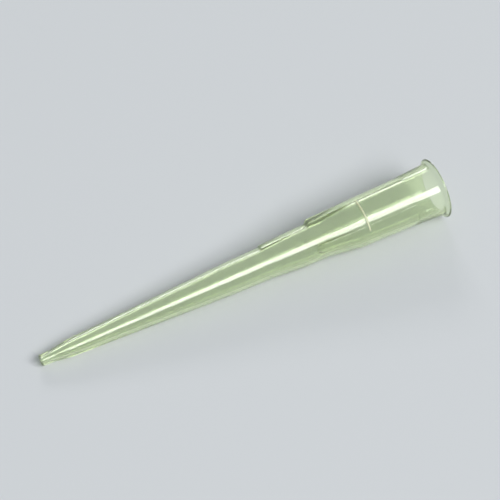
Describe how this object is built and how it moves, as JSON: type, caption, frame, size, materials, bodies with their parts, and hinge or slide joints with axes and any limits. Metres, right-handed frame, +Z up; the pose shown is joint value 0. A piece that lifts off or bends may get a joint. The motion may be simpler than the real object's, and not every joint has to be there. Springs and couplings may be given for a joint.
{
  "type": "pipette tip",
  "caption": "Long tapered disposable tip of translucent plastic for an air-displacement pipette, with a flared mouth, a ribbed barrel and a fine point, lying on its side.",
  "frame": {"origin": "centre of the bottom of the lying tip's bounding box, on the surface that it lies on", "axes": "+Z up; +X along the tip in plan, from the point to the mouth; the tip's own axis rises about 3 degrees towards the mouth"},
  "size_m": [0.051, 0.0072, 0.0072],
  "materials": {
    "polypropylene": "translucent, faintly yellow-green, as it leaves a polished mould"
  },
  "bodies": {
    "root": {"pipette_tip": "polypropylene"}
  },
  "joints": []
}
